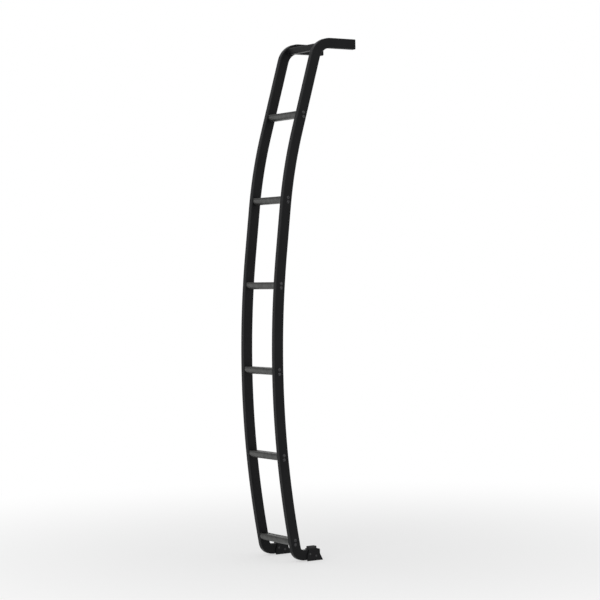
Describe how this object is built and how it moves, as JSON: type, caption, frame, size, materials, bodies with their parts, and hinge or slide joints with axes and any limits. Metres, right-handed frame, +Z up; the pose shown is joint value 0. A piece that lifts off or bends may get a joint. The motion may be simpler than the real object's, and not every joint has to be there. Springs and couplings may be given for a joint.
{
  "type": "van rack ladder",
  "caption": "Side ladder for a van's roof rack: two bowed rectangular rails with flat treads, arms over the rack edge and padded sill brackets.",
  "frame": {"origin": "centre of the top crossbar's inboard face, which faces the rack edge", "axes": "+X along the rungs towards the vehicle's rear, +Y from the climber towards the vehicle side, +Z up"},
  "size_m": [0.263, 0.4051, 2.0529],
  "materials": {
    "rail_coat": "satin black powder coat",
    "rung_aluminium": "matt anodised, ribbed tread",
    "bracket_coat": "satin black powder coat on steel",
    "cap_plastic": "moulded black",
    "pad_rubber": "matt black"
  },
  "bodies": {
    "root": {"rear_rail": "rail_coat", "front_rail": "rail_coat", "top_crossbar": "rail_coat", "rung_1": "rung_aluminium", "rung_2": "rung_aluminium", "rung_3": "rung_aluminium", "rung_4": "rung_aluminium", "rung_5": "rung_aluminium", "rung_6": "rung_aluminium", "rear_top_cap": "cap_plastic", "front_top_cap": "cap_plastic", "rear_bottom_cap": "cap_plastic", "front_bottom_cap": "cap_plastic", "rear_sill_bracket": "bracket_coat", "front_sill_bracket": "bracket_coat", "rear_sill_pad": "pad_rubber", "front_sill_pad": "pad_rubber"}
  },
  "joints": []
}
